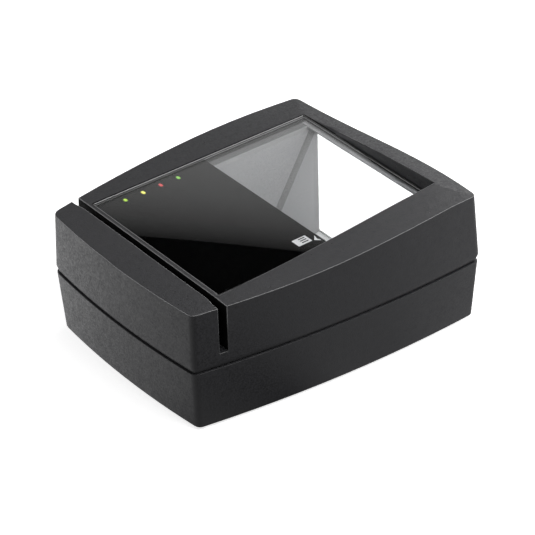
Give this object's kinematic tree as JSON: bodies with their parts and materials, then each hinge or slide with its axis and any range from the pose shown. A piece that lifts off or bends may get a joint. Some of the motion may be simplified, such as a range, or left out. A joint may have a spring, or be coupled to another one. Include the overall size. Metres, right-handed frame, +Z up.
{
  "type": "id document reader",
  "caption": "Desktop identity document reader with a flat glass reading window, a raised document stop, status lights and a sprung magnetic head in a card swipe slot.",
  "frame": {"origin": "middle of the bounding box seen from above, on the plane the feet stand on", "axes": "+X to the right along the long side, from the swipe slot to the high end of the document stop; +Y to the rear, where the inlets are; +Z up"},
  "size_m": [0.239, 0.1928, 0.1032],
  "materials": {
    "case_charcoal": "fine moulded texture",
    "window_glass": "polished",
    "mask_black": "printed",
    "gasket_grey": "satin",
    "light_lime": "clear tinted",
    "light_yellow": "clear tinted",
    "light_red": "clear tinted",
    "light_green": "clear tinted",
    "board_green": "solder mask",
    "chamber_grey": "matt",
    "mirror": "front surface mirror",
    "bar_white": "matt",
    "steel": "zinc plated",
    "black_plastic": "matt",
    "lens_glass": "coated",
    "nickel": "nickel plated",
    "foot_rubber": "matt"
  },
  "bodies": {
    "case": {"base_shell": "case_charcoal", "top_shell": "case_charcoal", "window_glass": "window_glass", "window_mask": "mask_black", "window_gasket": "gasket_grey", "status_light_1": "light_lime", "status_light_2": "light_yellow", "status_light_3": "light_red", "status_light_4": "light_green", "status_board": "board_green", "antenna_board": "board_green", "optics_chamber": "chamber_grey", "fold_mirror": "mirror", "illumination_bar_front": "bar_white", "illumination_bar_rear": "bar_white", "camera_bracket": "steel", "camera_board": "board_green", "lens_barrel": "black_plastic", "lens_element": "lens_glass", "main_board": "board_green", "usb_inlet": "nickel", "power_inlet": "black_plastic", "slot_wear_strip": "steel", "head_bracket": "steel", "pivot_pin": "steel", "case_screw_1": "steel", "case_screw_2": "steel", "case_screw_3": "steel", "case_screw_4": "steel", "chamber_screw_1": "steel", "chamber_screw_2": "steel", "chamber_screw_3": "steel", "chamber_screw_4": "steel", "bracket_screw_1": "steel", "bracket_screw_2": "steel", "head_screw_1": "steel", "head_screw_2": "steel", "camera_screw_1": "steel", "camera_screw_2": "steel", "camera_screw_3": "steel", "camera_screw_4": "steel", "board_screw_1": "steel", "board_screw_2": "steel", "board_screw_3": "steel", "board_screw_4": "steel", "status_screw_1": "steel", "status_screw_2": "steel", "foot_1": "foot_rubber", "foot_2": "foot_rubber", "foot_3": "foot_rubber", "foot_4": "foot_rubber"},
    "head_arm_body": {"read_head": "nickel", "head_arm": "steel", "torsion_spring": "steel"}
  },
  "joints": [
    {"name": "read_head_pivot", "type": "hinge", "parent": "case", "child": "head_arm_body", "pos_m": [-0.10177, 0.025, 0.0687], "axis": [0, 0, 1], "range_deg": [-2.4, 0], "stiffness_Nm_per_rad": 0.05, "springref_deg": 28.65}
  ]
}
